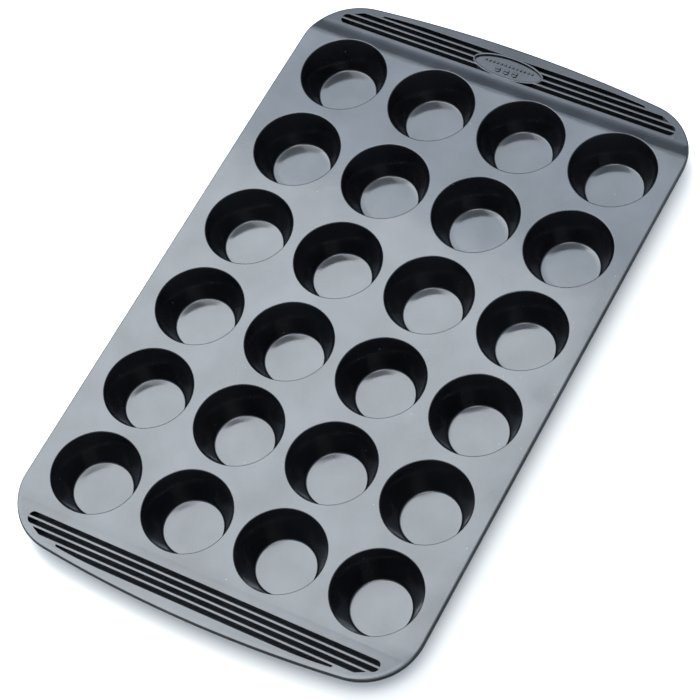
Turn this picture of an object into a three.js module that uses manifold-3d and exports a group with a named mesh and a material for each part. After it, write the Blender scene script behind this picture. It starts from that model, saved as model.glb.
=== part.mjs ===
// Flexible silicone mini muffin mould: round cups in a 4 by 6 grid under a flat deck, a plain
// finger grip at one end and a grip with an oval badge at the other.
// Millimetres. +X runs along the tray to the badge, +Y across it and +Z up. The origin is under
// the middle of the tray, on the plane that the cups stand on.
import * as THREE from 'three';
import { mergeVertices } from 'three/addons/utils/BufferGeometryUtils.js';
import Module from 'manifold-3d';

const wasm = await Module();
wasm.setup();

// ---- Driving dimensions ----

// Cup grid
const ROWS = 6; // along X
const COLUMNS = 4; // along Y
const PITCH = 51.4;

// One cup
const MOUTH_R = 22.5; // where the wall turns into the mouth's edge
const FLOOR_R = 15.3;
const CUP_DEPTH = 18.3;
const EDGE_CHAMFER = 0.6; // stands for the small fillets at the mouth and the floor
const WALL = 1.5;
const FLOOR = 1.5;
const CUP_SIDES = 24;

// Deck and its outline: straight long sides, bowed ends, round corners
const DECK_TOP = FLOOR + CUP_DEPTH;
const DECK = 1.8;
const TRAY_LENGTH = 356;
const TRAY_WIDTH = 218;
const CORNER_R = 31;
const END_BOW_R = 700;
const LIP_HEIGHT = 3.4;
const LIP_WIDTH = 2.2;

// Grips: each end steps down a little, and holds a pocket that thin ribs divide into grooves
const GRIP_STEP = 0.6;
const GRIP_STEP_RUN = 2.8;
const GRIP_THICKNESS = 6.4;
const POCKET_DEPTH = 5;
const POCKET_INNER_X = 158.8;
const POCKET_WIDTH = 13.4;
const POCKET_HALF_LENGTH = 95.7;
const POCKET_STRAIGHT_Y = 48; // half length of the straight part of the outer side
const POCKET_SIDE_R = 240; // the outer side's curve past its straight part
const POCKET_INNER_CORNER_R = 2.4;
const POCKET_OUTER_CORNER_R = 2.8;
const THIRD_GROOVE_END = 90.7; // the grooves nearer the tray's end are shorter
const THIRD_GROOVE_SLANT = 4.7; // length of its slanted end
const FOURTH_GROOVE_END = 75.5;
const POCKET_WALL = 1.4;
const RIBS = 3;
const RIB_WIDTH = 1.3;

// Badge: an oval ring with a sunk plate, in the middle of the badge grip's pocket
const BADGE_HALF_WIDTH = 7.2; // a little more than the pocket's, so its sides merge with the walls
const BADGE_HALF_LENGTH = 20;
const BADGE_RING = 1.2;
const BADGE_SINK = 1.3;
const BADGE_SIDES = 48;
const RELIEF = 0.5; // height of the raised motif on the plate
const CAKES = 3;
const CAKE_SPACING = 4.8;
const BEADS = 13;
const BEAD_R = 0.65;
const BEAD_SPACING = 2.2;

// ---- Values worked out from them ----

const GRID_END_X = ROWS * PITCH / 2;
const GRID_SIDE_Y = COLUMNS * PITCH / 2;
const GRIP_TOP = DECK_TOP - GRIP_STEP;
const POCKET_FLOOR = GRIP_TOP - POCKET_DEPTH;
const POCKET_OUTER_X = POCKET_INNER_X + POCKET_WIDTH;
const POCKET_MIDDLE_X = POCKET_INNER_X + POCKET_WIDTH / 2;
const GROOVE_WIDTH = (POCKET_WIDTH - RIBS * RIB_WIDTH) / (RIBS + 1);
const WALL_SLOPE = (MOUTH_R - FLOOR_R) / CUP_DEPTH; // radius gained per millimetre of height
const WALL_ACROSS = WALL * Math.hypot(1, WALL_SLOPE); // wall thickness measured level
const BEYOND = 5; // how far a cutting or trimming shape runs past what it cuts

// ---- Solids ----

/** Turns a closed three.js geometry into a manifold solid. */
function solid(geometry) {
  geometry.deleteAttribute('normal');
  geometry.deleteAttribute('uv');
  const merged = mergeVertices(geometry);
  return new wasm.Manifold(new wasm.Mesh({
    numProp: 3,
    vertProperties: merged.attributes.position.array,
    triVerts: new Uint32Array(merged.index.array),
  }));
}

/** A box between two corners. */
function box([x0, y0, z0], [x1, y1, z1]) {
  const geometry = new THREE.BoxGeometry(x1 - x0, y1 - y0, z1 - z0);
  return solid(geometry.translate((x0 + x1) / 2, (y0 + y1) / 2, (z0 + z1) / 2));
}

/** A flat outline of [x, y] points raised from one height to another. */
function prism(points, bottom, top) {
  const shape = new THREE.Shape(points.map(([x, y]) => new THREE.Vector2(x, y)));
  const geometry = new THREE.ExtrudeGeometry(shape, { depth: top - bottom, bevelEnabled: false });
  return solid(geometry.translate(0, 0, bottom));
}

/** An [x, z] outline run along Y across the whole tray. */
function crossTrayPrism(points) {
  const shape = new THREE.Shape(points.map(([x, z]) => new THREE.Vector2(x, z)));
  const depth = TRAY_WIDTH + 2 * BEYOND;
  const geometry = new THREE.ExtrudeGeometry(shape, { depth, bevelEnabled: false });
  return solid(geometry.rotateX(Math.PI / 2).translate(0, depth / 2, 0));
}

/** A [radius, height] profile turned about a vertical axis. */
function turned(profile, sides) {
  const points = profile.map(([radius, height]) => new THREE.Vector2(radius, height));
  return solid(new THREE.LatheGeometry(points, sides).rotateX(Math.PI / 2));
}

/** A named mesh with its own silicone material. */
function part(name, body, colour) {
  const { vertProperties, triVerts } = body.getMesh();
  const geometry = new THREE.BufferGeometry();
  geometry.setAttribute('position', new THREE.BufferAttribute(vertProperties, 3));
  geometry.setIndex(new THREE.BufferAttribute(triVerts, 1));
  geometry.computeVertexNormals();
  const material = new THREE.MeshStandardMaterial({ color: colour, roughness: 0.42, metalness: 0 });
  const mesh = new THREE.Mesh(geometry, material);
  mesh.name = name;
  return mesh;
}

const SILICONE = '#26292d';
const SILICONE_BADGE = '#2b2e33';

// ---- Outlines ----

/** Points of an arc, ends included. */
function arc(centreX, centreY, radius, from, to, steps) {
  return Array.from({ length: steps + 1 }, (_, i) => {
    const angle = from + (to - from) * i / steps;
    return [centreX + radius * Math.cos(angle), centreY + radius * Math.sin(angle)];
  });
}

/** An outline's points mirrored to the other side of Y = 0, in the same turning sense. */
function mirroredY(points) {
  return points.map(([x, y]) => [x, -y]).reverse();
}

/** The convex outline round a set of points, anticlockwise: its lower side, then its upper. */
function convexOutline(points) {
  const sorted = [...points].sort((a, b) => a[0] - b[0] || a[1] - b[1]);
  const side = (ordered) => {
    const chain = [];
    for (const point of ordered) {
      while (chain.length > 1 && turn(chain.at(-2), chain.at(-1), point) <= 0) {
        chain.pop();
      }
      chain.push(point);
    }
    return chain.slice(0, -1);
  };
  return [...side(sorted), ...side(sorted.reverse())];
}

/** Which way the path a, b, c turns at b: above zero to the left, below zero to the right. */
function turn(a, b, c) {
  return (b[0] - a[0]) * (c[1] - b[1]) - (b[1] - a[1]) * (c[0] - b[0]);
}

/** A convex anticlockwise outline with every side moved out and its corners kept sharp. */
function movedOut(outline, distance) {
  const normals = outline.map(([x, y], i) => {
    const [nextX, nextY] = outline[(i + 1) % outline.length];
    const length = Math.hypot(nextX - x, nextY - y);
    return [(nextY - y) / length, (x - nextX) / length];
  });
  return outline.map(([x, y], i) => {
    const after = normals[i];
    const before = normals[(i + normals.length - 1) % normals.length];
    const reach = distance / (1 + after[0] * before[0] + after[1] * before[1]);
    return [x + (after[0] + before[0]) * reach, y + (after[1] + before[1]) * reach];
  });
}

/** The tray's outline, or one parallel to it further in. */
function trayOutline(inset = 0) {
  const endCentreX = TRAY_LENGTH / 2 - END_BOW_R;
  const cornerY = TRAY_WIDTH / 2 - CORNER_R;
  const cornerX = endCentreX + Math.sqrt((END_BOW_R - CORNER_R) ** 2 - cornerY ** 2);
  const bowAngle = Math.atan2(cornerY, cornerX - endCentreX);
  const quarter = [
    ...arc(endCentreX, 0, END_BOW_R - inset, 0, bowAngle, 6),
    ...arc(cornerX, cornerY, CORNER_R - inset, bowAngle, Math.PI / 2, 9).slice(1),
  ];
  const half = [...quarter, ...quarter.map(([x, y]) => [-x, y]).reverse()];
  return [...half, ...mirroredY(half).slice(1, -1)];
}

/** Where a groove starts on X, counted from the cups outwards. */
function grooveX(number) {
  return POCKET_INNER_X + (number - 1) * (GROOVE_WIDTH + RIB_WIDTH);
}

/** The pocket's outline: round where the first two grooves end, stepped at the other two. */
function pocketOutline() {
  const sideX = POCKET_OUTER_X - POCKET_SIDE_R;
  const sideAngle = Math.asin((FOURTH_GROOVE_END - POCKET_STRAIGHT_Y) / POCKET_SIDE_R);
  const secondOuterX = grooveX(2) + GROOVE_WIDTH;
  const thirdOuterX = grooveX(3) + GROOVE_WIDTH;
  const outerX = secondOuterX - POCKET_OUTER_CORNER_R;
  const outerY = POCKET_HALF_LENGTH - POCKET_OUTER_CORNER_R;
  const innerX = POCKET_INNER_X + POCKET_INNER_CORNER_R;
  const innerY = POCKET_HALF_LENGTH - POCKET_INNER_CORNER_R;
  const half = [
    ...arc(sideX, POCKET_STRAIGHT_Y, POCKET_SIDE_R, 0, sideAngle, 5),
    [thirdOuterX, FOURTH_GROOVE_END],
    [thirdOuterX, THIRD_GROOVE_END - THIRD_GROOVE_SLANT],
    [grooveX(3), THIRD_GROOVE_END],
    [secondOuterX, THIRD_GROOVE_END],
    ...arc(outerX, outerY, POCKET_OUTER_CORNER_R, 0, Math.PI / 2, 4),
    ...arc(innerX, innerY, POCKET_INNER_CORNER_R, Math.PI / 2, Math.PI, 4),
  ];
  return [...half, ...mirroredY(half)];
}

/** The badge's oval, or one parallel to it further in. */
function badgeOval(inset = 0) {
  const round = arc(0, 0, 1, 0, 2 * Math.PI, BADGE_SIDES).slice(0, -1);
  return round.map(([x, y]) => [
    POCKET_MIDDLE_X + x * (BADGE_HALF_WIDTH - inset),
    y * (BADGE_HALF_LENGTH - inset),
  ]);
}

/** A small cake in its case, seen from the side, that stands across the badge plate. */
function cakeOutline(footX, centreY) {
  const halfBase = 1.2;
  const halfTop = 1.6;
  const caseHeight = 1.6;
  const dome = arc(0, caseHeight, halfTop, 0, Math.PI, 10);
  const upright = [[-halfBase, 0], [halfBase, 0], ...dome];
  return upright.map(([x, y]) => [footX - y, centreY + x]);
}

// ---- Pieces of the moulding ----

/** One cup with the square of deck round its mouth, standing on Z = 0. */
function cupCell() {
  const half = PITCH / 2;
  const tile = box([-half, -half, DECK_TOP - DECK], [half, half, DECK_TOP]);
  const shellTop = DECK_TOP - DECK / 2;
  const shell = turned([
    [0, 0],
    [FLOOR_R, 0],
    [FLOOR_R + WALL_ACROSS, FLOOR],
    [FLOOR_R + WALL_ACROSS + WALL_SLOPE * (shellTop - FLOOR), shellTop],
    [0, shellTop],
  ], CUP_SIDES);
  const hollow = turned([
    [0, FLOOR],
    [FLOOR_R - EDGE_CHAMFER, FLOOR],
    [FLOOR_R + WALL_SLOPE * EDGE_CHAMFER, FLOOR + EDGE_CHAMFER],
    [MOUTH_R, DECK_TOP - EDGE_CHAMFER],
    [MOUTH_R + EDGE_CHAMFER, DECK_TOP],
    [MOUTH_R + EDGE_CHAMFER, DECK_TOP + BEYOND],
    [0, DECK_TOP + BEYOND],
  ], CUP_SIDES);
  return tile.add(shell).subtract(hollow);
}

/** The turned-down lip round the whole tray, following the step down at each end. */
function rimLip() {
  const inside = prism(trayOutline(LIP_WIDTH), -BEYOND, DECK_TOP + BEYOND);
  return prism(trayOutline(), 0, DECK_TOP).subtract(inside).intersect(steppedSlab(LIP_HEIGHT));
}

/** The strip of deck between the cups and the lip on the +Y side. */
function sideRail() {
  const strip = box(
    [-GRID_END_X, GRID_SIDE_Y, DECK_TOP - DECK],
    [GRID_END_X, TRAY_WIDTH / 2 + BEYOND, DECK_TOP],
  );
  return strip.intersect(prism(trayOutline(LIP_WIDTH), 0, DECK_TOP + BEYOND));
}

/** A slab under the tray's top face, level over the cups and stepped down at both ends. */
function steppedSlab(thickness) {
  const stepEnd = GRID_END_X + GRIP_STEP_RUN;
  const end = TRAY_LENGTH / 2 + BEYOND;
  const half = [[end, GRIP_TOP], [stepEnd, GRIP_TOP], [GRID_END_X, DECK_TOP]];
  const top = [...half, ...half.map(([x, z]) => [-x, z]).reverse()];
  const underside = top.map(([x, z]) => [x, z - thickness]).reverse();
  return crossTrayPrism([...top, ...underside]);
}

/** A grip at the +X end: the deck inside the lip, and the boss that holds the open pocket. */
function grip(pocket) {
  const insideLip = prism(trayOutline(LIP_WIDTH), 0, DECK_TOP + BEYOND);
  const endOnly = box([GRID_END_X, -TRAY_WIDTH, 0], [TRAY_LENGTH, TRAY_WIDTH, DECK_TOP + BEYOND]);
  const deck = steppedSlab(DECK).intersect(insideLip).intersect(endOnly);
  const bossOutline = movedOut(convexOutline(pocketOutline()), POCKET_WALL);
  const boss = prism(bossOutline, GRIP_TOP - GRIP_THICKNESS, GRIP_TOP - DECK / 2);
  return deck.add(boss.intersect(insideLip)).subtract(pocket);
}

/** One rib, counted from the cups outwards, trimmed to the pocket. */
function rib(number, pocket) {
  const x = grooveX(number) + GROOVE_WIDTH;
  const reach = POCKET_HALF_LENGTH + BEYOND;
  return box([x, -reach, POCKET_FLOOR], [x + RIB_WIDTH, reach, GRIP_TOP]).intersect(pocket);
}

/** The half of a body on one side of Y = 0: side is 1 for +Y and -1 for -Y. */
function halfOf(body, side) {
  return body.intersect(box(
    [POCKET_INNER_X - BEYOND, Math.min(0, side * TRAY_WIDTH), 0],
    [POCKET_OUTER_X + BEYOND, Math.max(0, side * TRAY_WIDTH), DECK_TOP],
  ));
}

/** The raised oval ring, flush with the grip. */
function badgeRing(pocket) {
  const outer = prism(badgeOval(), POCKET_FLOOR, GRIP_TOP);
  const inner = prism(badgeOval(BADGE_RING), POCKET_FLOOR - BEYOND, GRIP_TOP + BEYOND);
  return outer.subtract(inner).intersect(pocket);
}

/** The sunk plate inside the ring, with its raised cakes and line of beads. */
function badgePlate() {
  const top = GRIP_TOP - BADGE_SINK;
  const plate = prism(badgeOval(BADGE_RING), POCKET_FLOOR, top);
  const outlines = [];
  for (let i = 0; i < CAKES; i += 1) {
    const y = (i - (CAKES - 1) / 2) * CAKE_SPACING;
    outlines.push(cakeOutline(POCKET_MIDDLE_X - 0.8, y));
  }
  for (let i = 0; i < BEADS; i += 1) {
    const y = (i - (BEADS - 1) / 2) * BEAD_SPACING;
    outlines.push(arc(POCKET_MIDDLE_X + 1.5, y, BEAD_R, 0, 2 * Math.PI, 8).slice(0, -1));
  }
  const relief = outlines.map((outline) => prism(outline, top - RELIEF, top + RELIEF));
  return relief.reduce((body, raised) => body.add(raised), plate);
}

// ---- Assembly ----

function cups() {
  const group = new THREE.Group();
  const cell = cupCell();
  for (let row = 1; row <= ROWS; row += 1) {
    for (let column = 1; column <= COLUMNS; column += 1) {
      const cup = part(`cup_row_${row}_column_${column}`, cell, SILICONE);
      cup.position.set((row - (ROWS + 1) / 2) * PITCH, (column - (COLUMNS + 1) / 2) * PITCH, 0);
      group.add(cup);
    }
  }
  return group;
}

function sideRails() {
  const group = new THREE.Group();
  const left = part('side_rail_left', sideRail(), SILICONE);
  const right = part('side_rail_right', sideRail(), SILICONE);
  right.rotation.z = Math.PI;
  group.add(left, right);
  return group;
}

/** The end with no badge, turned about Z to the -X end. */
function plainEnd(pocket) {
  const group = new THREE.Group();
  group.add(part('plain_grip', grip(pocket), SILICONE));
  for (let number = 1; number <= RIBS; number += 1) {
    group.add(part(`plain_grip_rib_${number}`, rib(number, pocket), SILICONE));
  }
  group.rotation.z = Math.PI;
  return group;
}

/** The end whose ribs stop at the badge. */
function badgeEnd(pocket) {
  const group = new THREE.Group();
  group.add(part('badge_grip', grip(pocket), SILICONE));
  const oval = prism(badgeOval(), 0, DECK_TOP);
  for (let number = 1; number <= RIBS; number += 1) {
    const cutRib = rib(number, pocket).subtract(oval);
    group.add(part(`badge_grip_rib_${number}_left`, halfOf(cutRib, 1), SILICONE));
    group.add(part(`badge_grip_rib_${number}_right`, halfOf(cutRib, -1), SILICONE));
  }
  group.add(part('badge_ring', badgeRing(pocket), SILICONE_BADGE));
  group.add(part('badge_plate', badgePlate(), SILICONE_BADGE));
  return group;
}

const pocket = prism(pocketOutline(), POCKET_FLOOR, DECK_TOP + BEYOND);
const mould = new THREE.Group();
mould.add(cups(), sideRails(), part('rim_lip', rimLip(), SILICONE));
mould.add(plainEnd(pocket), badgeEnd(pocket));

export default mould;
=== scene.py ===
"""Flexible black silicone mini muffin mould: its visible pieces, finishes, light and camera.

The mould is one moulding. Each of its regions is a surface of its own, worked out on a grid of
two parameters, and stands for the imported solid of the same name. All lengths are in
metres; a size written as 22.5 * MM is a length in millimetres.
"""
import logging
import math
from dataclasses import dataclass
from enum import Enum

import bmesh
import bpy
import numpy as np
from mathutils import Matrix, Vector


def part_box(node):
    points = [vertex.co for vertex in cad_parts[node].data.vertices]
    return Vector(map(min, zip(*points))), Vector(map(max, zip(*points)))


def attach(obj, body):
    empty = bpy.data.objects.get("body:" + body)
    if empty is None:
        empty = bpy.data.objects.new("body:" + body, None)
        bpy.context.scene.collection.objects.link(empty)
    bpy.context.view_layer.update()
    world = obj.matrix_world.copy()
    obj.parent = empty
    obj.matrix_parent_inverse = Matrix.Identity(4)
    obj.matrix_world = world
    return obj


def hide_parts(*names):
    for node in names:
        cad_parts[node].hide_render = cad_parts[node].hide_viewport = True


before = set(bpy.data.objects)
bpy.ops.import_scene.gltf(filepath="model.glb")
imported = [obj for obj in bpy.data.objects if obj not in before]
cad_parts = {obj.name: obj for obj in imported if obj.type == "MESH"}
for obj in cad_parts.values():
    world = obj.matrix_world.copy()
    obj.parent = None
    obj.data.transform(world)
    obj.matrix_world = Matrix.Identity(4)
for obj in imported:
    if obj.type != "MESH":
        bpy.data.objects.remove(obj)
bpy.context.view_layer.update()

MM = 0.001
BODY = "root"
WELD = 0.5e-6
SHARP_ANGLE = math.radians(50)
# Faces that look sideways or down can take a side finish that paints shade on them.
SIDE_LOOK = 0.8  # a face whose normal rises less than this looks sideways or down
TINY = 1e-9

logger = logging.getLogger("muffin_mould")


# ---------------------------------------------------------------------------
# Curves and outlines
# ---------------------------------------------------------------------------

def arc(centre: tuple[float, float], radius: float, start: float, end: float, steps: int) -> np.ndarray:
    """Points of a circular arc, ends included: centre + radius * (cos a, sin a).

    Args:
        centre: The arc's centre.
        radius: Its radius.
        start: The first angle, in radians.
        end: The last angle, in radians.
        steps: How many equal steps it is cut into.

    Returns:
        An array of steps + 1 points.
    """
    angle = np.linspace(start, end, steps + 1)
    return np.stack([centre[0] + radius * np.cos(angle), centre[1] + radius * np.sin(angle)], axis=1)


def rounded_profile(corners: list[tuple[float, float, float]], arc_steps: int = 8,
                    longest: float = 3 * MM) -> np.ndarray:
    """A profile through corners, each rounded by an arc that is tangent to both its sides.

    At a corner that turns by an angle t, the arc of radius r starts r * tan(t / 2) before the
    corner. Straight stretches get extra points, no further apart than the longest step.

    Args:
        corners: (across, height, fillet radius) for each corner; radius 0 keeps it sharp.
        arc_steps: Steps in each arc.
        longest: The longest step along a straight stretch.

    Returns:
        An array of (across, height) points.
    """
    places = np.array([corner[:2] for corner in corners], dtype=float)
    stretches = [places[:1]]
    for before, corner, after, (_, _, radius) in zip(places, places[1:], places[2:], corners[1:-1]):
        into = (corner - before) / np.linalg.norm(corner - before)
        out = (after - corner) / np.linalg.norm(after - corner)
        turn = math.atan2(into[0] * out[1] - into[1] * out[0], float(into @ out))
        if radius == 0:
            stretches.append(corner[None])
            continue
        side = math.copysign(1, turn)
        normal = side * np.array([-into[1], into[0]])
        start = corner - into * radius * math.tan(abs(turn) / 2)
        first = math.atan2(-normal[1], -normal[0])
        stretches.append(arc(tuple(start + normal * radius), radius, first, first + turn, arc_steps))
    stretches.append(places[-1:])
    points = [stretches[0]]
    for stretch in stretches[1:]:
        gap = np.linalg.norm(stretch[0] - points[-1][-1])
        between = np.linspace(points[-1][-1], stretch[0], max(2, math.ceil(gap / longest) + 1))[1:-1]
        points.extend([between, stretch])
    return np.concatenate(points)


def smooth_rise(value: np.ndarray, low: float, high: float) -> np.ndarray:
    """A smooth step from 0 at low to 1 at high: 3 t^2 - 2 t^3 of the clipped fraction t."""
    fraction = np.clip((value - low) / (high - low), 0, 1)
    return fraction * fraction * (3 - 2 * fraction)


# ---------------------------------------------------------------------------
# Mesh making
# ---------------------------------------------------------------------------

def add_piece(name: str, grid: np.ndarray, node: str, finish: "SiliconeFinish",
              side_finish: "SiliconeFinish | None" = None) -> bpy.types.Object:
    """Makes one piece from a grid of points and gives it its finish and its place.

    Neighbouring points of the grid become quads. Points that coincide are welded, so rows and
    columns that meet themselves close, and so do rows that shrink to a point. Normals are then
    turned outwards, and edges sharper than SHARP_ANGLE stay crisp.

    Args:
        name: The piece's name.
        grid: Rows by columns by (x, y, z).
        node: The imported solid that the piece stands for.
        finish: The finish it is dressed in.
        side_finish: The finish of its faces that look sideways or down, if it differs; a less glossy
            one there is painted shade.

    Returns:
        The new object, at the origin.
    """
    rows, columns = grid.shape[:2]
    index = np.arange(rows * columns).reshape(rows, columns)
    quads = np.stack([index[:-1, :-1], index[1:, :-1], index[1:, 1:], index[:-1, 1:]], axis=-1)
    mesh = bpy.data.meshes.new(name)
    mesh.from_pydata(grid.reshape(-1, 3), [], quads.reshape(-1, 4))
    shell = bmesh.new()
    shell.from_mesh(mesh)
    bmesh.ops.remove_doubles(shell, verts=shell.verts, dist=WELD)
    bmesh.ops.recalc_face_normals(shell, faces=shell.faces)
    shell.to_mesh(mesh)
    shell.free()
    mesh.shade_smooth()
    mesh.set_sharp_from_angle(angle=SHARP_ANGLE)
    mesh.materials.append(finish.material())
    # A side finish makes the faces that look sideways or down less glossy than the rest: painted shade,
    # picked by the way each face is turned.
    if side_finish:
        mesh.materials.append(side_finish.material())
        normals = np.empty(3 * len(mesh.polygons))
        mesh.polygons.foreach_get("normal", normals)
        mesh.polygons.foreach_set("material_index", (normals[2::3] < SIDE_LOOK).astype(np.int32))
    piece = bpy.data.objects.new(name, mesh)
    bpy.context.scene.collection.objects.link(piece)
    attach(piece, BODY)
    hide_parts(node)
    logger.info("%s: %d faces", name, len(mesh.polygons))
    return piece


# ---------------------------------------------------------------------------
# Finishes
# ---------------------------------------------------------------------------

def linear_colour(code: str) -> tuple[float, float, float, float]:
    """The linear colour, with alpha 1, of an sRGB hex code such as '#20242a'."""
    values = [int(code[i:i + 2], 16) / 255 for i in (1, 3, 5)]
    return (*(v / 12.92 if v <= 0.04045 else ((v + 0.055) / 1.055) ** 2.4 for v in values), 1.0)


def add_node(tree: bpy.types.NodeTree, kind: str, settings: dict | None = None,
             links: dict | None = None) -> bpy.types.Node:
    """Adds a node, sets its properties and inputs, and links outputs of others into it.

    Args:
        tree: The node tree that takes it.
        kind: The node's type name.
        settings: Property name or input name to its value.
        links: Input name or number to the output socket that feeds it.

    Returns:
        The new node.
    """
    node = tree.nodes.new(kind)
    for key, value in (settings or {}).items():
        if isinstance(key, str) and key in node.bl_rna.properties:
            setattr(node, key, value)
        else:
            node.inputs[key].default_value = value
    for key, socket in (links or {}).items():
        tree.links.new(socket, node.inputs[key])
    return node


@dataclass(frozen=True)
class SiliconeFinish:
    """Black pigmented silicone rubber, moulded in a smooth tool.

    A large light shows in the rubber with a fairly clear edge. Over that lies a thin dull
    bloom of oil and dust, which spreads a part of the light widely and gives the eye a satin
    veil. Handling leaves broad patches, some duller and some glossier. A pair of levels says
    over which part of its noise, from 0 to 1, a patch goes from nothing to whole.
    """

    name: str
    colour: str = "#050506"
    dusty_colour: str = "#090a0b"
    tint_patch: float = 26 * MM
    tint_levels: tuple[float, float] = (0.42, 0.78)
    roughness: float = 0.085
    smudge: float = 0.02
    smudge_patch: float = 15 * MM
    smudge_levels: tuple[float, float] = (0.35, 0.7)
    dust_colour: str = "#7c7d7b"
    dust_spacing: float = 8 * MM
    dust_radius: float = 0.24 * MM
    bloom: float = 0.33
    bloom_spread: float = 0.16
    bloom_cloud: float = 24 * MM
    bloom_levels: tuple[float, float] = (0.32, 0.68)
    bloom_roughness: float = 0.38
    grain: float = 0.35 * MM
    grain_height: float = 0.004 * MM
    ripple: float = 38 * MM
    ripple_height: float = 0.15 * MM
    ior: float = 1.41
    specular: float = 0.5

    def material(self) -> bpy.types.Material:
        """The finish's material, made the first time that it is asked for."""
        known = bpy.data.materials.get(self.name)
        if known:
            return known
        material = bpy.data.materials.new(self.name)
        material.use_nodes = True
        tree = material.node_tree
        shader = tree.nodes["Principled BSDF"]
        place = add_node(tree, "ShaderNodeTexCoord").outputs["Object"]
        shader.inputs["IOR"].default_value = self.ior
        shader.inputs["Specular IOR Level"].default_value = self.specular
        shader.inputs["Coat Roughness"].default_value = self.bloom_roughness
        shader.inputs["Coat IOR"].default_value = self.ior
        self._colour(tree, shader, place)
        self._sheen(tree, shader, place)
        self._bloom(tree, shader, place)
        self._relief(tree, shader, place)
        return material

    def _colour(self, tree: bpy.types.NodeTree, shader: bpy.types.Node,
                place: bpy.types.NodeSocket) -> None:
        """Colours the rubber: its pigment, a shade greyer in patches, and specks of pale dust."""
        patches = add_node(tree, "ShaderNodeTexNoise", {"Scale": 1 / self.tint_patch, "Detail": 4.0},
                           {"Vector": place})
        ramp = add_node(tree, "ShaderNodeValToRGB", links={"Fac": patches.outputs["Fac"]})
        ramp.color_ramp.elements[0].position = self.tint_levels[0]
        ramp.color_ramp.elements[0].color = linear_colour(self.colour)
        ramp.color_ramp.elements[1].position = self.tint_levels[1]
        ramp.color_ramp.elements[1].color = linear_colour(self.dusty_colour)
        dust = add_node(tree, "ShaderNodeTexVoronoi", {"Scale": 1 / self.dust_spacing},
                        {"Vector": place})
        reach = self.dust_radius / self.dust_spacing
        speck = add_node(tree, "ShaderNodeMapRange", {
            "From Min": reach / 2, "From Max": reach, "To Min": 1.0, "To Max": 0.0,
        }, {"Value": dust.outputs["Distance"]})
        dusty = add_node(tree, "ShaderNodeMix", {
            "data_type": "RGBA", 7: linear_colour(self.dust_colour),
        }, {0: speck.outputs["Result"], 6: ramp.outputs["Color"]})
        tree.links.new(dusty.outputs[2], shader.inputs["Base Color"])

    def _sheen(self, tree: bpy.types.NodeTree, shader: bpy.types.Node,
               place: bpy.types.NodeSocket) -> None:
        """Makes the satin duller or glossier by up to smudge, in soft patches."""
        patches = add_node(tree, "ShaderNodeTexNoise", {"Scale": 1 / self.smudge_patch, "Detail": 5.0},
                           {"Vector": place})
        level = add_node(tree, "ShaderNodeMapRange", {
            "From Min": self.smudge_levels[0], "From Max": self.smudge_levels[1],
            "To Min": self.roughness - self.smudge, "To Max": self.roughness + self.smudge,
        }, {"Value": patches.outputs["Fac"]})
        tree.links.new(level.outputs["Result"], shader.inputs["Roughness"])

    def _bloom(self, tree: bpy.types.NodeTree, shader: bpy.types.Node,
               place: bpy.types.NodeSocket) -> None:
        """Lays the bloom in clouds, thicker and thinner by bloom_spread."""
        clouds = add_node(tree, "ShaderNodeTexNoise", {"Scale": 1 / self.bloom_cloud, "Detail": 4.0},
                          {"Vector": place})
        weight = add_node(tree, "ShaderNodeMapRange", {
            "From Min": self.bloom_levels[0], "From Max": self.bloom_levels[1],
            "To Min": max(0.0, self.bloom - self.bloom_spread),
            "To Max": self.bloom + self.bloom_spread,
        }, {"Value": clouds.outputs["Fac"]})
        tree.links.new(weight.outputs["Result"], shader.inputs["Coat Weight"])

    def _relief(self, tree: bpy.types.NodeTree, shader: bpy.types.Node,
                place: bpy.types.NodeSocket) -> None:
        """Adds the tool's fine grain, over the slow ripple of a soft sheet that lies at rest."""
        ripple = add_node(tree, "ShaderNodeTexNoise", {"Scale": 1 / self.ripple, "Detail": 1.0},
                          {"Vector": place})
        slow = add_node(tree, "ShaderNodeBump", {"Distance": self.ripple_height, "Strength": 1.0},
                        {"Height": ripple.outputs["Fac"]})
        grain = add_node(tree, "ShaderNodeTexNoise", {"Scale": 1 / self.grain, "Detail": 2.0},
                         {"Vector": place})
        fine = add_node(tree, "ShaderNodeBump", {"Distance": self.grain_height, "Strength": 1.0},
                        {"Height": grain.outputs["Fac"], "Normal": slow.outputs["Normal"]})
        tree.links.new(fine.outputs["Normal"], shader.inputs["Normal"])


class Finish(Enum):
    """The finishes that the mould's regions are dressed in."""

    DECK = SiliconeFinish("satin_moulded_silicone")
    GRIP = SiliconeFinish("satin_moulded_silicone_grip", roughness=0.18)
    # The edge finish is painted shade: a rougher copy with weak specular and a thin bloom, laid on
    # faces that look sideways or down so that they mirror less of the bright floor.
    SHADED_EDGE = SiliconeFinish("painted_shade_silicone_edge", roughness=0.42, bloom=0.05, specular=0.12)
    BADGE = SiliconeFinish("fine_moulded_silicone_badge", roughness=0.17, grain=0.25 * MM)


# ---------------------------------------------------------------------------
# The tray's outline and lie, shared by every region
# ---------------------------------------------------------------------------

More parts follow.
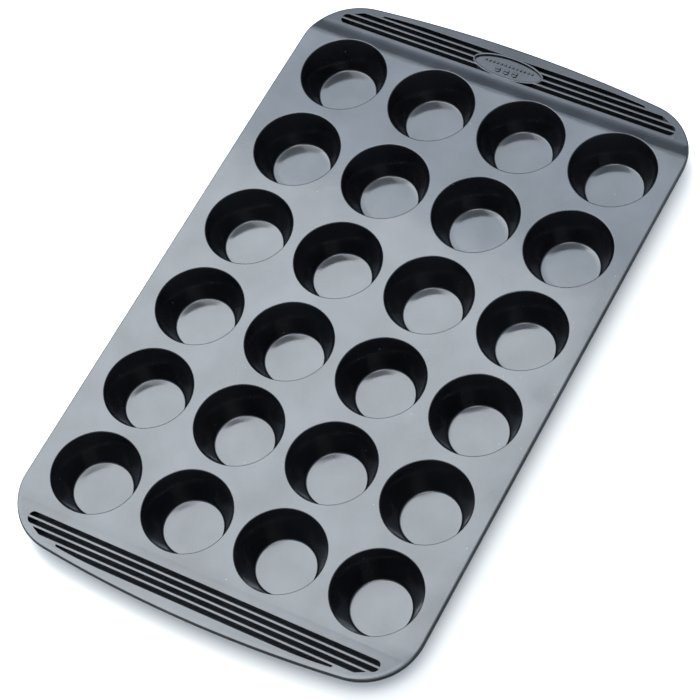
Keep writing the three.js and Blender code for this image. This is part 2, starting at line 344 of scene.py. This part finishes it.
@dataclass(frozen=True)
class Tray:
    """The outline and the heights that all the regions share.

    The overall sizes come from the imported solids' boxes. The values set below repeat the
    design's, apart from where the step starts and ends, the droop and the sag.
    """

    length: float
    width: float
    deck_top: float
    cells_end: float
    cells_side: float
    corner_radius: float = 31 * MM
    bow_radius: float = 700 * MM
    deck: float = 1.8 * MM
    lip_width: float = 2.2 * MM
    step: float = 0.6 * MM
    step_start: float = 148.3 * MM
    step_end: float = 157.6 * MM
    droop_slope: float = math.tan(math.radians(1.2))
    sag_start: float = 96 * MM
    sag_slope: float = math.tan(math.radians(0.7))
    sag_ease: float = 14 * MM
    bow_steps: int = 59
    corner_steps: int = 55
    side_steps: int = 89

    @classmethod
    def from_frame(cls) -> "Tray":
        """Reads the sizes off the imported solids' boxes."""
        lip_low, lip_high = (np.array(corner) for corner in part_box("rim_lip"))
        rail_low, rail_high = (np.array(corner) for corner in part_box("side_rail_left"))
        return cls(length=float(lip_high[0] - lip_low[0]), width=float(lip_high[1] - lip_low[1]),
                   deck_top=float(rail_high[2]), cells_end=float(rail_high[0]),
                   cells_side=float(rail_low[1]))

    @property
    def bow_centre(self) -> float:
        """Where on X the +X end's bowed arc has its centre."""
        return self.length / 2 - self.bow_radius

    @property
    def corner_centre(self) -> tuple[float, float]:
        """The centre of the +X +Y corner's arc, which is tangent to the end and the side."""
        y = self.width / 2 - self.corner_radius
        return self.bow_centre + math.sqrt((self.bow_radius - self.corner_radius) ** 2 - y * y), y

    def outline(self) -> tuple[np.ndarray, np.ndarray]:
        """The outline's points and outward normals, once round, with the first repeated last.

        A quarter runs along the bowed end, round the corner and along half of the straight
        side. It is mirrored across both axes, and on every arc the normal is the direction
        from the arc's centre.

        Returns:
            Points and unit normals, two arrays of (x, y).
        """
        corner_x, corner_y = self.corner_centre
        meet = math.atan2(corner_y, corner_x - self.bow_centre)
        angles = [np.linspace(0, meet, self.bow_steps + 1),
                  np.linspace(meet, math.pi / 2, self.corner_steps + 1)[1:]]
        bow = arc((self.bow_centre, 0), self.bow_radius, 0, meet, self.bow_steps)
        corner = arc((corner_x, corner_y), self.corner_radius, meet, math.pi / 2,
                     self.corner_steps)[1:]
        side_x = np.linspace(corner_x, 0, self.side_steps + 1)[1:]
        side = np.stack([side_x, np.full_like(side_x, self.width / 2)], axis=1)
        angle = np.concatenate([*angles, np.full(len(side), math.pi / 2)])
        quarter = np.concatenate([bow, corner, side])
        normal = np.stack([np.cos(angle), np.sin(angle)], axis=1)

        def all_round(values: np.ndarray) -> np.ndarray:
            """Mirrors a quarter's values to the whole loop."""
            half = np.concatenate([values, (values * [-1, 1])[::-1][1:]])
            return np.concatenate([half, (half * [1, -1])[::-1][1:]])

        return all_round(quarter), all_round(normal)

    def outside(self, x: np.ndarray, y: np.ndarray, inset: float) -> np.ndarray:
        """How far points of the +X half lie outside the outline moved in by inset.

        The outline is everywhere corner_radius away from a core: the core's end is an arc,
        its sides are straight, and past its corner the distance is to the corner's centre.
        """
        corner_x, corner_y = self.corner_centre
        past_end = np.hypot(x - self.bow_centre, y) - (self.bow_radius - self.corner_radius)
        past_side = np.abs(y) - corner_y
        meet = corner_y / (corner_x - self.bow_centre)
        at_corner = (x > corner_x) & (np.abs(y) > meet * (x - self.bow_centre))
        from_corner = np.hypot(x - corner_x, np.abs(y) - corner_y)
        core = np.where(at_corner, from_corner, np.maximum(past_end, past_side))
        return core - self.corner_radius + inset

    def lie(self, points: np.ndarray) -> np.ndarray:
        """Lets the soft sheet take its lie: the step down to the grips, their droop and a sag.

        Each end falls by step between step_start and step_end, and slopes down by droop_slope
        beyond it. The badge end also sags by sag_slope past its last row but one. The fall is
        whole at the deck and fades with the square of the height, so that the cups stand flat.
        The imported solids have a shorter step, and neither the droop nor the sag.

        Args:
            points: Any array of (x, y, z).

        Returns:
            The same points, lowered.
        """
        x, z = points[..., 0], points[..., 2]
        out = np.abs(x)
        fall = self.step * smooth_rise(out, self.step_start, self.step_end)
        fall += self.droop_slope * np.clip(out - self.step_end, 0, None)
        sag = np.clip(x - self.sag_start, 0, None)
        fall += self.sag_slope * sag * smooth_rise(sag, 0, self.sag_ease)
        lowered = points.copy()
        lowered[..., 2] = z - fall * np.clip(z / self.deck_top, 0, 1) ** 2
        return lowered


TRAY = Tray.from_frame()


# ---------------------------------------------------------------------------
# Cups
# ---------------------------------------------------------------------------

@dataclass
class CupCell:
    """One cup with the square of deck round its mouth."""

    node: str
    floor_radius: float = 15.3 * MM
    mouth_radius: float = 22.5 * MM
    floor: float = 1.5 * MM
    wall: float = 1.5 * MM
    mouth_fillet: float = 0.6 * MM
    floor_fillet: float = 1.0 * MM
    outer_fillet: float = 1.6 * MM
    root_fillet: float = 1 * MM
    root_reach: float = 1.2 * MM
    columns: int = 192
    deck_rows: int = 16
    under_rows: int = 7
    finish: Finish = Finish.DECK

    def __post_init__(self) -> None:
        """Takes the cell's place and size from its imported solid."""
        low, high = (np.array(corner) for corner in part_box(self.node))
        self.centre = (low + high)[:2] / 2
        self.half = float(high[0] - low[0]) / 2

    def _inner_profile(self) -> np.ndarray:
        """(radius, height) from the floor's middle, up the wall and over the mouth's edge."""
        return rounded_profile([
            (0, self.floor, 0),
            (self.floor_radius, self.floor, self.floor_fillet),
            (self.mouth_radius, TRAY.deck_top, self.mouth_fillet),
            (self.mouth_radius + self.mouth_fillet, TRAY.deck_top, 0),
        ], arc_steps=8, longest=2.6 * MM)

    def _outer_profile(self) -> np.ndarray:
        """(radius, height) from the deck's underside, down the outer wall to the middle."""
        slope = (self.mouth_radius - self.floor_radius) / (TRAY.deck_top - self.floor)
        across = self.wall * math.hypot(1, slope)
        underside = TRAY.deck_top - TRAY.deck
        top = self.floor_radius + slope * (underside - self.floor) + across
        bottom = self.floor_radius - slope * self.floor + across
        return rounded_profile([
            (top + self.root_reach, underside, 0),
            (top, underside, self.root_fillet),
            (bottom, 0, self.outer_fillet),
            (0, 0, 0),
        ], arc_steps=6, longest=4 * MM)

    def _turned(self, profile: np.ndarray, angle: np.ndarray) -> np.ndarray:
        """A profile turned about the cup's axis: (r cos a, r sin a, z) for every r and a."""
        radius, height = profile[:, :1], profile[:, 1:]
        return np.stack([radius * np.cos(angle), radius * np.sin(angle),
                         height + 0 * angle], axis=-1)

    def _square(self, angle: np.ndarray, height: float) -> np.ndarray:
        """The cell's square edge: each direction's unit step, scaled to touch the square."""
        step = np.stack([np.cos(angle), np.sin(angle)], axis=-1)
        edge = step * self.half / np.abs(step).max(axis=-1, keepdims=True)
        return np.concatenate([edge, np.full((len(angle), 1), height)], axis=-1)

    def build(self) -> bpy.types.Object:
        """Runs rings from the floor out over the deck, down its edge and back underneath.

        Between the mouth and the square edge each ring is a straight blend of the two, and the
        underside blends back in the same way.

        Returns:
            The cup's object.
        """
        angle = np.linspace(0, 2 * math.pi, self.columns + 1)
        inner = self._turned(self._inner_profile(), angle)
        outer = self._turned(self._outer_profile(), angle)
        top_edge = self._square(angle, TRAY.deck_top)
        low_edge = self._square(angle, TRAY.deck_top - TRAY.deck)
        blend = np.linspace(0, 1, self.deck_rows + 1)[1:, None, None]
        over = inner[-1] + (top_edge - inner[-1]) * blend
        back = np.linspace(0, 1, self.under_rows + 1)[:-1, None, None]
        under = low_edge + (outer[0] - low_edge) * back
        grid = np.concatenate([inner, over, under, outer])
        grid[..., :2] += self.centre
        return add_piece(f"silicone_{self.node}", TRAY.lie(grid), self.node, self.finish.value)


# ---------------------------------------------------------------------------
# Deck margins and lip
# ---------------------------------------------------------------------------

@dataclass
class SideRail:
    """The strip of deck between the cups and the lip on one long side."""

    node: str
    side: int
    stations: int = 260
    rows: int = 6
    finish: Finish = Finish.DECK

    def build(self) -> bpy.types.Object:
        """Carries a flat rectangular section along X, its outer side following the lip.

        The outer side is straight, and past the corner's centre it is the corner's arc:
        y = corner y + sqrt(r^2 - (x - corner x)^2), with r less by the lip's width.

        Returns:
            The rail's object.
        """
        x = np.linspace(-TRAY.cells_end, TRAY.cells_end, self.stations)
        corner_x, corner_y = TRAY.corner_centre
        past = np.clip(np.abs(x) - corner_x, 0, None)
        radius = TRAY.corner_radius - TRAY.lip_width
        outer = corner_y + np.sqrt(radius ** 2 - past ** 2)
        inner = np.full_like(x, TRAY.cells_side)
        top = np.full_like(x, TRAY.deck_top)
        low = top - TRAY.deck
        across = np.linspace(0, 1, self.rows)[:, None]
        upper = [inner + (outer - inner) * across, np.broadcast_to(top, (self.rows, len(x)))]
        lower = [outer + (inner - outer) * across, np.broadcast_to(low, (self.rows, len(x)))]
        y = np.concatenate([upper[0], lower[0], inner[None]]) * self.side
        z = np.concatenate([upper[1], lower[1], top[None]])
        grid = np.stack([np.broadcast_to(x, y.shape), y, z], axis=-1).transpose(1, 0, 2)
        ends = [np.broadcast_to(grid[i].mean(axis=0), grid[i].shape) for i in (0, -1)]
        grid = np.concatenate([ends[0][None], grid, ends[1][None]])
        return add_piece(f"silicone_{self.node}", TRAY.lie(grid), self.node, self.finish.value)


@dataclass
class RimLip:
    """The turned-down lip round the whole tray, with the mould's parting line on its face."""

    node: str = "rim_lip"
    height: float = 3.4 * MM
    edge_fillet: float = 0.4 * MM
    heel_fillet: float = 0.4 * MM
    line_rise: float = 0.25 * MM
    line_height: float = 0.8 * MM
    line_root: float = 0.15 * MM
    line_crest: float = 0.12 * MM
    finish: Finish = Finish.DECK
    # Its faces that look sideways or down take the edge finish, which paints shade on them.
    side_finish: Finish = Finish.SHADED_EDGE

    def _section(self) -> np.ndarray:
        """(outwards, height) once round the section, from its top inner corner.

        The parting line is a small ridge half way down the outer face.
        """
        top, bottom = TRAY.deck_top, TRAY.deck_top - self.height
        middle = (top + bottom) / 2
        half = self.line_height / 2
        return rounded_profile([
            (-TRAY.lip_width, top, 0),
            (0, top, self.edge_fillet),
            (0, middle + half, self.line_root),
            (self.line_rise, middle, self.line_crest),
            (0, middle - half, self.line_root),
            (0, bottom, self.edge_fillet),
            (-TRAY.lip_width, bottom, self.heel_fillet),
            (-TRAY.lip_width, top - TRAY.deck, 0),
            (-TRAY.lip_width, top, 0),
        ], arc_steps=6, longest=0.8 * MM)

    def build(self) -> bpy.types.Object:
        """Carries the section round the outline: point + outward normal * section's offset.

        Returns:
            The lip's object.
        """
        path, normal = TRAY.outline()
        section = self._section()
        level = path[:, None] + normal[:, None] * section[None, :, :1]
        height = np.broadcast_to(section[:, 1], level.shape[:2])
        grid = np.concatenate([level, height[..., None]], axis=-1)
        return add_piece("silicone_rim_lip", TRAY.lie(grid), self.node, self.finish.value,
                         self.side_finish.value)


# ---------------------------------------------------------------------------
# Grips
# ---------------------------------------------------------------------------

@dataclass(frozen=True)
class Pocket:
    """The pocket of the grip at the +X end, whose four grooves end at different lengths.

    The first two grooves share a round end. The third has a slanted end, and the fourth, the
    one nearest the tray's end, is the shortest and narrows towards it.
    """

    inner_x: float
    width: float
    half_length: float
    third_end: float
    fourth_end: float
    depth: float
    straight: float = 48 * MM
    side_radius: float = 240 * MM
    slant: float = 4.7 * MM
    inner_corner: float = 2.4 * MM
    outer_corner: float = 2.8 * MM
    step_corner: float = 0.5 * MM
    step_slope: float = 0.2 * MM
    slant_corner: float = 1.5 * MM
    side_steps: int = 24

    @classmethod
    def from_frame(cls) -> "Pocket":
        """Reads the pocket's sizes off the badge ring and the ribs, which reach its walls."""
        low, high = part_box("badge_ring")
        ends = [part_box(f"badge_grip_rib_{number}_left")[1][1] for number in (1, 2, 3)]
        return cls(float(low[0]), float(high[0] - low[0]), *(float(end) for end in ends),
                   depth=float(high[2] - low[2]))

    @property
    def middle_x(self) -> float:
        """The pocket's middle on X."""
        return self.inner_x + self.width / 2

    def outline(self) -> tuple[np.ndarray, np.ndarray]:
        """The pocket's points and outward normals, once round, with the first repeated last.

        Half of it runs up the outer side, which curves in past its straight part, steps in at
        the ends of the fourth and third grooves, rounds the shared end of the first two and
        comes back down the straight inner side. The other half is its mirror image. A normal
        is the tangent turned a quarter clockwise, the tangent being the step between a
        point's two neighbours.

        Returns:
            Points and unit normals, two arrays of (x, y).
        """
        second, third = (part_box(f"badge_grip_rib_{number}_left") for number in (2, 3))
        outer_x = self.inner_x + self.width
        turn = math.asin((self.fourth_end - self.straight) / self.side_radius)
        side = arc((outer_x - self.side_radius, self.straight), self.side_radius, 0, turn,
                   self.side_steps)
        half = rounded_profile([
            (outer_x, 0, 0),
            *((x, y, 0) for x, y in side[:-1]),
            (side[-1][0], self.fourth_end - self.step_slope, self.step_corner),
            (third[0][0], self.fourth_end + self.step_slope, self.step_corner),
            (third[0][0], self.third_end - self.slant, self.slant_corner),
            (second[1][0], self.third_end, self.step_corner),
            (second[0][0], self.third_end, self.step_corner),
            (second[0][0], self.half_length, self.outer_corner),
            (self.inner_x, self.half_length, self.inner_corner),
            (self.inner_x, 0, 0),
        ], arc_steps=8, longest=0.8 * MM)
        points = np.concatenate([half, (half * [1, -1])[::-1][1:]])
        ring = points[:-1]
        tangent = np.roll(ring, -1, axis=0) - np.roll(ring, 1, axis=0)
        tangent /= np.linalg.norm(tangent, axis=1, keepdims=True)
        normal = np.stack([tangent[:, 1], -tangent[:, 0]], axis=1)
        return points, np.concatenate([normal, normal[:1]])


POCKET = Pocket.from_frame()


def turned_end(grid: np.ndarray, end: int) -> np.ndarray:
    """A grid built at the +X end, turned half round about Z where end is -1."""
    return grid * np.array([end, end, 1])


@dataclass
class Grip:
    """An end of the tray inside its lip: the deck round the pocket, and the boss that holds it."""

    node: str
    end: int
    edge_fillet: float = 0.22 * MM
    floor_margin: float = 0.3 * MM
    floor_fillet: float = 0.25 * MM
    wall_lean: float = 0.05 * MM
    boss_wall: float = 1 * MM
    boss_fillet: float = 1 * MM
    boss_inset: float = 1 * MM
    boss_root_fillet: float = 0.3 * MM
    boss_root_reach: float = 0.4 * MM
    foot_inset: float = 3 * MM
    foot_reach: float = 85 * MM
    thickness: float = 6.4 * MM
    march_steps: int = 60
    over_rows: int = 12
    under_rows: int = 4
    finish: Finish = Finish.GRIP

    def _feet(self, points: np.ndarray) -> np.ndarray:
        """Each point's foot on a line along the pocket, from which the whole outline is seen."""
        return np.stack([np.full(len(points), POCKET.inner_x + self.foot_inset),
                         np.clip(points[:, 1], -self.foot_reach, self.foot_reach)], axis=1)

    def _outer_edge(self, points: np.ndarray, feet: np.ndarray) -> np.ndarray:
        """Where a line from each foot through its point leaves the grip.

        The line stops at the seam with the cups, or where Tray.outside, followed step by step
        like a marching ray, reaches nothing. The nearest point to each end of the seam is then
        put on it, to keep that corner sharp.
        """
        way = points - feet
        way /= np.linalg.norm(way, axis=1, keepdims=True)
        far = np.zeros(len(points))
        for _ in range(self.march_steps):
            place = feet + way * far[:, None]
            far -= TRAY.outside(place[:, 0], place[:, 1], TRAY.lip_width)
        to_cups = np.minimum(way[:, 0], -TINY)
        back = np.where(way[:, 0] < 0, (TRAY.cells_end - feet[:, 0]) / to_cups, np.inf)
        edge = feet + way * np.minimum(far, back)[:, None]
        corner_x, corner_y = TRAY.corner_centre
        radius = TRAY.corner_radius - TRAY.lip_width
        seam_y = corner_y + math.sqrt(radius ** 2 - (TRAY.cells_end - corner_x) ** 2)
        for side in (-1, 1):
            seam_end = np.array([TRAY.cells_end, side * seam_y])
            edge[np.argmin(np.linalg.norm(edge - seam_end, axis=1))] = seam_end
        return edge

    def build(self) -> bpy.types.Object:
        """Runs loops out from the line of feet, over the deck and back underneath.

        Pocket loops are its outline moved along its normals by a profile's offset. Deck loops
        are straight blends from the pocket's edge to the grip's outer edge. On the line of feet
        the two sides of a loop end at different points, so they meet there without a weld.

        Returns:
            The grip's object.
        """
        points, normals = POCKET.outline()
        feet = self._feet(points)
        top, floor = TRAY.deck_top, TRAY.deck_top - POCKET.depth
        edge = self._outer_edge(points, feet)

        def loops(profile: np.ndarray) -> np.ndarray:
            """The pocket's outline at each (offset, height) of a profile."""
            level = points[None] + normals[None] * profile[:, None, :1]
            return self._raised(level, profile[:, 1])

        wall = loops(rounded_profile([
            (-self.floor_margin, floor, 0),
            (-self.wall_lean, floor, self.floor_fillet),
            (0, top, self.edge_fillet),
            (self.edge_fillet, top, 0),
        ], arc_steps=7, longest=1 * MM))
        boss = loops(rounded_profile([
            (self.boss_wall + self.boss_root_reach, top - TRAY.deck, 0),
            (self.boss_wall, top - TRAY.deck, self.boss_root_fillet),
            (self.boss_wall, top - self.thickness, self.boss_fillet),
            (-self.boss_inset, top - self.thickness, 0),
        ], arc_steps=5, longest=2 * MM))
        top_edge = self._raised(edge[None], np.array([top]))[0]
        low_edge = self._raised(edge[None], np.array([top - TRAY.deck]))[0]
        outwards = np.linspace(0, 1, self.over_rows + 1)[1:, None, None]
        inwards = np.linspace(0, 1, self.under_rows + 1)[:-1, None, None]
        over = wall[-1] + (top_edge - wall[-1]) * outwards
        under = low_edge + (boss[0] - low_edge) * inwards
        floor_line = self._raised(feet[None], np.array([floor]))
        low_line = self._raised(feet[None], np.array([top - self.thickness]))
        grid = np.concatenate([floor_line, wall, over, under, boss, low_line])
        grid = TRAY.lie(turned_end(grid, self.end))
        return add_piece(f"silicone_{self.node}", grid, self.node, self.finish.value)

    @staticmethod
    def _raised(level: np.ndarray, heights: np.ndarray) -> np.ndarray:
        """Loops of (x, y), each given its height."""
        z = np.broadcast_to(heights[:, None, None], (*level.shape[:2], 1))
        return np.concatenate([level, z], axis=-1)


@dataclass
class GripRib:
    """One thin rib between two grooves, level with the grip round it."""

    node: str
    end: int
    badge_side: int = 0
    proud: float = 0.02 * MM
    root: float = 0.5 * MM
    edge_fillet: float = 0.2 * MM
    stations: int = 160
    finish: Finish = Finish.GRIP

    def build(self) -> bpy.types.Object:
        """Carries a section with rounded top edges along Y, a root's length into each wall.

        A rib of the badge grip starts at each x of its section on the badge's oval.

        Returns:
            The rib's object.
        """
        low, high = (np.array(corner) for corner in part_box(self.node))
        near, far = sorted((abs(low[0]), abs(high[0])))
        top = TRAY.deck_top + self.proud
        bottom = TRAY.deck_top - POCKET.depth - self.root
        section = rounded_profile([
            (near, bottom, 0), (near, top, self.edge_fillet), (far, top, self.edge_fillet),
            (far, bottom, 0), (near, bottom, 0),
        ], arc_steps=5, longest=0.4 * MM)
        x, z = section[:, 0], section[:, 1]
        finish_y = np.full_like(x, max(abs(low[1]), abs(high[1])) + self.root)
        start_y = BADGE.edge_at(x) - self.root if self.badge_side else -finish_y
        along = np.linspace(0, 1, self.stations)[:, None]
        y = start_y + (finish_y - start_y) * along
        if self.badge_side:
            y = y * self.badge_side
        grid = np.stack([np.broadcast_to(x, y.shape), y, np.broadcast_to(z, y.shape)], axis=-1)
        caps = [np.broadcast_to(grid[i].mean(axis=0), grid[i].shape)[None] for i in (0, -1)]
        grid = np.concatenate([caps[0], grid, caps[1]])
        grid = TRAY.lie(turned_end(grid, self.end))
        return add_piece(f"silicone_{self.node}", grid, self.node, self.finish.value)


# ---------------------------------------------------------------------------
# Badge
# ---------------------------------------------------------------------------

@dataclass(frozen=True)
class Badge:
    """The oval badge in the middle of the badge grip's pocket."""

    half_width: float = 7.2 * MM
    half_length: float = 20 * MM
    ring: float = 1.2 * MM
    sink: float = 1.3 * MM
    relief: float = 0.7 * MM
    ring_fillet: float = 0.35 * MM
    proud: float = 0.02 * MM
    bead_radius: float = 0.65 * MM
    bead_edge_in: float = 0.12 * MM
    bead_edge_out: float = 0.06 * MM
    bead_spacing: float = 2.2 * MM
    beads: int = 13
    bead_row: float = 1.5 * MM
    cakes: int = 3
    cake_spacing: float = 4.8 * MM
    cake_foot: float = -0.8 * MM
    case_half: float = 1.2 * MM
    case_lean: float = 0.25
    case_height: float = 1.5 * MM
    dome_foot: float = 1.6 * MM
    dome_whole: float = 1.8 * MM
    dome_inner: float = 1.45 * MM
    dome_outer: float = 1.65 * MM
    soft_edge: float = 0.14 * MM
    ring_steps: int = 240
    plate_rows: int = 601
    plate_columns: int = 141
    finish: Finish = Finish.BADGE

    def edge_at(self, x: np.ndarray) -> np.ndarray:
        """Half the oval's length at x: half_length * sqrt(1 - ((x - middle) / half_width)^2)."""
        share = np.clip((x - POCKET.middle_x) / self.half_width, -1, 1)
        return self.half_length * np.sqrt(1 - share ** 2)

    def build_ring(self) -> bpy.types.Object:
        """Carries a round-topped section round the oval, along the oval's own normals.

        Returns:
            The ring's object.
        """
        angle = np.linspace(0, 2 * math.pi, self.ring_steps + 1)
        path = np.stack([POCKET.middle_x + self.half_width * np.cos(angle),
                         self.half_length * np.sin(angle)], axis=1)
        normal = np.stack([np.cos(angle) / self.half_width, np.sin(angle) / self.half_length], axis=1)
        normal /= np.linalg.norm(normal, axis=1, keepdims=True)
        top = TRAY.deck_top + self.proud
        bottom = TRAY.deck_top - POCKET.depth
        section = rounded_profile([
            (-self.ring, bottom, 0), (-self.ring, top, self.ring_fillet),
            (0, top, self.ring_fillet), (0, bottom, 0), (-self.ring, bottom, 0),
        ], arc_steps=7, longest=1 * MM)
        level = path[:, None] + normal[:, None] * section[None, :, :1]
        height = np.broadcast_to(section[:, 1], level.shape[:2])
        grid = np.concatenate([level, height[..., None]], axis=-1)
        return add_piece("silicone_badge_ring", TRAY.lie(grid), "badge_ring", self.finish.value)

    def _raised_share(self, across: np.ndarray, along: np.ndarray) -> np.ndarray:
        """How much of the relief stands at each place of the plate, from 0 to 1.

        The beads are circles in a row. A cake is a case whose sides lean out, with a groove
        above it and a round dome on top. Each shape's edge is a smooth rise over a fraction
        of a millimetre.
        """
        beside_bead = self._from_nearest(along, self.beads, self.bead_spacing)
        from_bead = np.hypot(across - self.bead_row, beside_bead)
        beads = 1 - smooth_rise(from_bead, self.bead_radius - self.bead_edge_in,
                                self.bead_radius + self.bead_edge_out)
        aside = np.abs(self._from_nearest(along, self.cakes, self.cake_spacing))
        up = self.cake_foot - across
        case = (smooth_rise(self.case_half + up * self.case_lean - aside, 0, self.soft_edge)
                * smooth_rise(up, 0, self.soft_edge)
                * smooth_rise(self.case_height - up, 0, self.soft_edge))
        from_dome = np.hypot(aside, up - self.dome_foot)
        dome = ((1 - smooth_rise(from_dome, self.dome_inner, self.dome_outer))
                * smooth_rise(up, self.dome_foot, self.dome_whole))
        return np.maximum(beads, np.maximum(case, dome))

    @staticmethod
    def _from_nearest(along: np.ndarray, count: int, spacing: float) -> np.ndarray:
        """Each place's distance from the nearest of an odd count of evenly spaced centres."""
        nearest = np.clip(np.round(along / spacing), -(count // 2), count // 2)
        return along - nearest * spacing

    def build_plate(self) -> bpy.types.Object:
        """Carries a section across the oval plate along Y, its top raised by the relief.

        Each section reaches to the ring's middle line, half width = (half_width - ring / 2)
        * sqrt(1 - (y / (half_length - ring / 2))^2), so the plate's ends shrink to points.

        Returns:
            The plate's object.
        """
        half_width = self.half_width - self.ring / 2
        half_length = self.half_length - self.ring / 2
        turn = np.linspace(-math.pi / 2, math.pi / 2, self.plate_rows)
        y = (half_length * np.sin(turn))[:, None]
        span = (half_width * np.cos(turn))[:, None]
        upper = np.linspace(-1, 1, self.plate_columns)[None]
        top = TRAY.deck_top - self.sink
        relief = self.relief * self._raised_share(upper * span, y)
        bottom = np.full((len(turn), 3), TRAY.deck_top - POCKET.depth)
        x = np.concatenate([upper * span, np.array([[1, -1, -1]]) * span], axis=1)
        z = np.concatenate([top + relief, bottom], axis=1)
        z[:, -1] = z[:, 0]
        grid = np.stack([POCKET.middle_x + x, np.broadcast_to(y, x.shape), z], axis=-1)
        ends = [np.broadcast_to(grid[i].mean(axis=0), grid[i].shape)[None] for i in (0, -1)]
        grid = np.concatenate([ends[0], grid, ends[1]])
        return add_piece("silicone_badge_plate", TRAY.lie(grid), "badge_plate", self.finish.value)


BADGE = Badge()


# ---------------------------------------------------------------------------
# Studio
# ---------------------------------------------------------------------------

@dataclass(frozen=True)
class SoftBox:
    """A level soft box that faces down, lit evenly."""

    name: str
    low: tuple[float, float]
    high: tuple[float, float]
    height: float
    radiance: float
    colour: str

    def build(self) -> None:
        """Hangs the light between its corners: power = pi * area * radiance."""
        size = [high - low for low, high in zip(self.low, self.high)]
        light = bpy.data.lights.new(self.name, "AREA")
        light.shape = "RECTANGLE"
        light.size, light.size_y = size
        light.energy = math.pi * size[0] * size[1] * self.radiance
        light.color = linear_colour(self.colour)[:3]
        lamp = bpy.data.objects.new(self.name, light)
        lamp.location = (self.low[0] + size[0] / 2, self.low[1] + size[1] / 2, self.height)
        bpy.context.scene.collection.objects.link(lamp)


@dataclass(frozen=True)
class Studio:
    """A pale floor, level soft boxes, an even pale room and the camera.

    The wide and far boxes show in the whole deck, and fade out past its far end one after
    the other. The inner one adds its light to the half nearer the camera, and the top one only
    shows in the rounded edges that turn towards the camera.
    """

    aim: tuple[float, float, float] = (-18.17 * MM, -4.45 * MM, 19.91 * MM)
    azimuth: float = -139.8
    elevation: float = 58.5
    roll: float = -14.3
    distance: float = 1.342
    view_angle: float = 14.54
    boxes: tuple[SoftBox, ...] = (
        SoftBox("wide_box", (-0.05, 0.36), (1.22, 1.15), 1.62, 4.4, "#e4f1ff"),
        SoftBox("far_box", (-0.05, 0.0), (1.46, 1.15), 1.63, 3.5, "#e4f1ff"),
        SoftBox("inner_box", (-0.05, 0.36), (0.94, 1.15), 1.64, 4.3, "#fffdf6"),
        SoftBox("top_box", (-0.75, -0.7), (-0.05, 0.0), 1.66, 10.0, "#f6faff"),
    )
    room: str = "#b9c9e0"
    room_strength: float = 1.75
    clip_start: float = 0.05
    floor_colour: str = "#f6efe2"
    floor_roughness: float = 0.9
    floor_specular: float = 0.2
    floor_reach: float = 3.0
    floor_cells: int = 6
    floor_drop: float = 0.05 * MM

    def _direction(self, azimuth: float, elevation: float) -> Vector:
        """The unit vector at an azimuth and elevation, both in degrees."""
        a, e = math.radians(azimuth), math.radians(elevation)
        return Vector((math.cos(e) * math.cos(a), math.cos(e) * math.sin(a), math.sin(e)))

    def _facing(self, place: Vector, target: Vector, roll: float) -> Matrix:
        """The matrix of a camera at place, looking at target and rolled in degrees."""
        turn = (place - target).to_track_quat("Z", "Y").to_matrix().to_4x4()
        return Matrix.Translation(place) @ turn @ Matrix.Rotation(math.radians(roll), 4, "Z")

    def build_floor(self) -> None:
        """Lays a pale matt floor, far wider than the view."""
        grid = np.linspace(-self.floor_reach, self.floor_reach, self.floor_cells + 1)
        x, y = np.meshgrid(grid, grid)
        rows = np.stack([x, y, np.full_like(x, -self.floor_drop)], axis=-1)
        index = np.arange(x.size).reshape(x.shape)
        quads = np.stack([index[:-1, :-1], index[:-1, 1:], index[1:, 1:], index[1:, :-1]], axis=-1)
        mesh = bpy.data.meshes.new("floor")
        mesh.from_pydata(rows.reshape(-1, 3), [], quads.reshape(-1, 4))
        material = bpy.data.materials.new("matt_white_paper")
        material.use_nodes = True
        shader = material.node_tree.nodes["Principled BSDF"]
        shader.inputs["Base Color"].default_value = linear_colour(self.floor_colour)
        shader.inputs["Roughness"].default_value = self.floor_roughness
        shader.inputs["Specular IOR Level"].default_value = self.floor_specular
        mesh.materials.append(material)
        floor = bpy.data.objects.new("floor", mesh)
        bpy.context.scene.collection.objects.link(floor)

    def build_lights(self) -> None:
        """Hangs the soft boxes and fills the room with even pale light."""
        for box in self.boxes:
            box.build()
        world = bpy.data.worlds.new("room")
        world.use_nodes = True
        background = world.node_tree.nodes["Background"]
        background.inputs["Color"].default_value = linear_colour(self.room)
        background.inputs["Strength"].default_value = self.room_strength
        bpy.context.scene.world = world

    def build_camera(self) -> None:
        """Sets the camera above one corner of the plain end, looking along the tray."""
        data = bpy.data.cameras.new("camera")
        data.angle = math.radians(self.view_angle)
        data.clip_start = self.clip_start
        camera = bpy.data.objects.new("camera", data)
        aim = Vector(self.aim)
        place = aim + self._direction(self.azimuth, self.elevation) * self.distance
        camera.matrix_world = self._facing(place, aim, self.roll)
        bpy.context.scene.collection.objects.link(camera)
        bpy.context.scene.camera = camera
        bpy.context.scene.view_settings.view_transform = "Standard"


# ---------------------------------------------------------------------------
# Assembly
# ---------------------------------------------------------------------------

def cup_nodes() -> list[str]:
    """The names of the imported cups, in order."""
    return sorted(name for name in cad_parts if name.startswith("cup_row_"))


def main() -> None:
    """Builds the studio and every region of the mould."""
    logging.basicConfig(level=logging.INFO, format="%(message)s")
    studio = Studio()
    studio.build_camera()
    studio.build_lights()
    studio.build_floor()
    for node in cup_nodes():
        CupCell(node).build()
    SideRail("side_rail_left", 1).build()
    SideRail("side_rail_right", -1).build()
    RimLip().build()
    Grip("plain_grip", -1).build()
    Grip("badge_grip", 1).build()
    for number in (1, 2, 3):
        GripRib(f"plain_grip_rib_{number}", -1).build()
        GripRib(f"badge_grip_rib_{number}_left", 1, badge_side=1).build()
        GripRib(f"badge_grip_rib_{number}_right", 1, badge_side=-1).build()
    BADGE.build_ring()
    BADGE.build_plate()


if __name__ == "__main__":
    main()
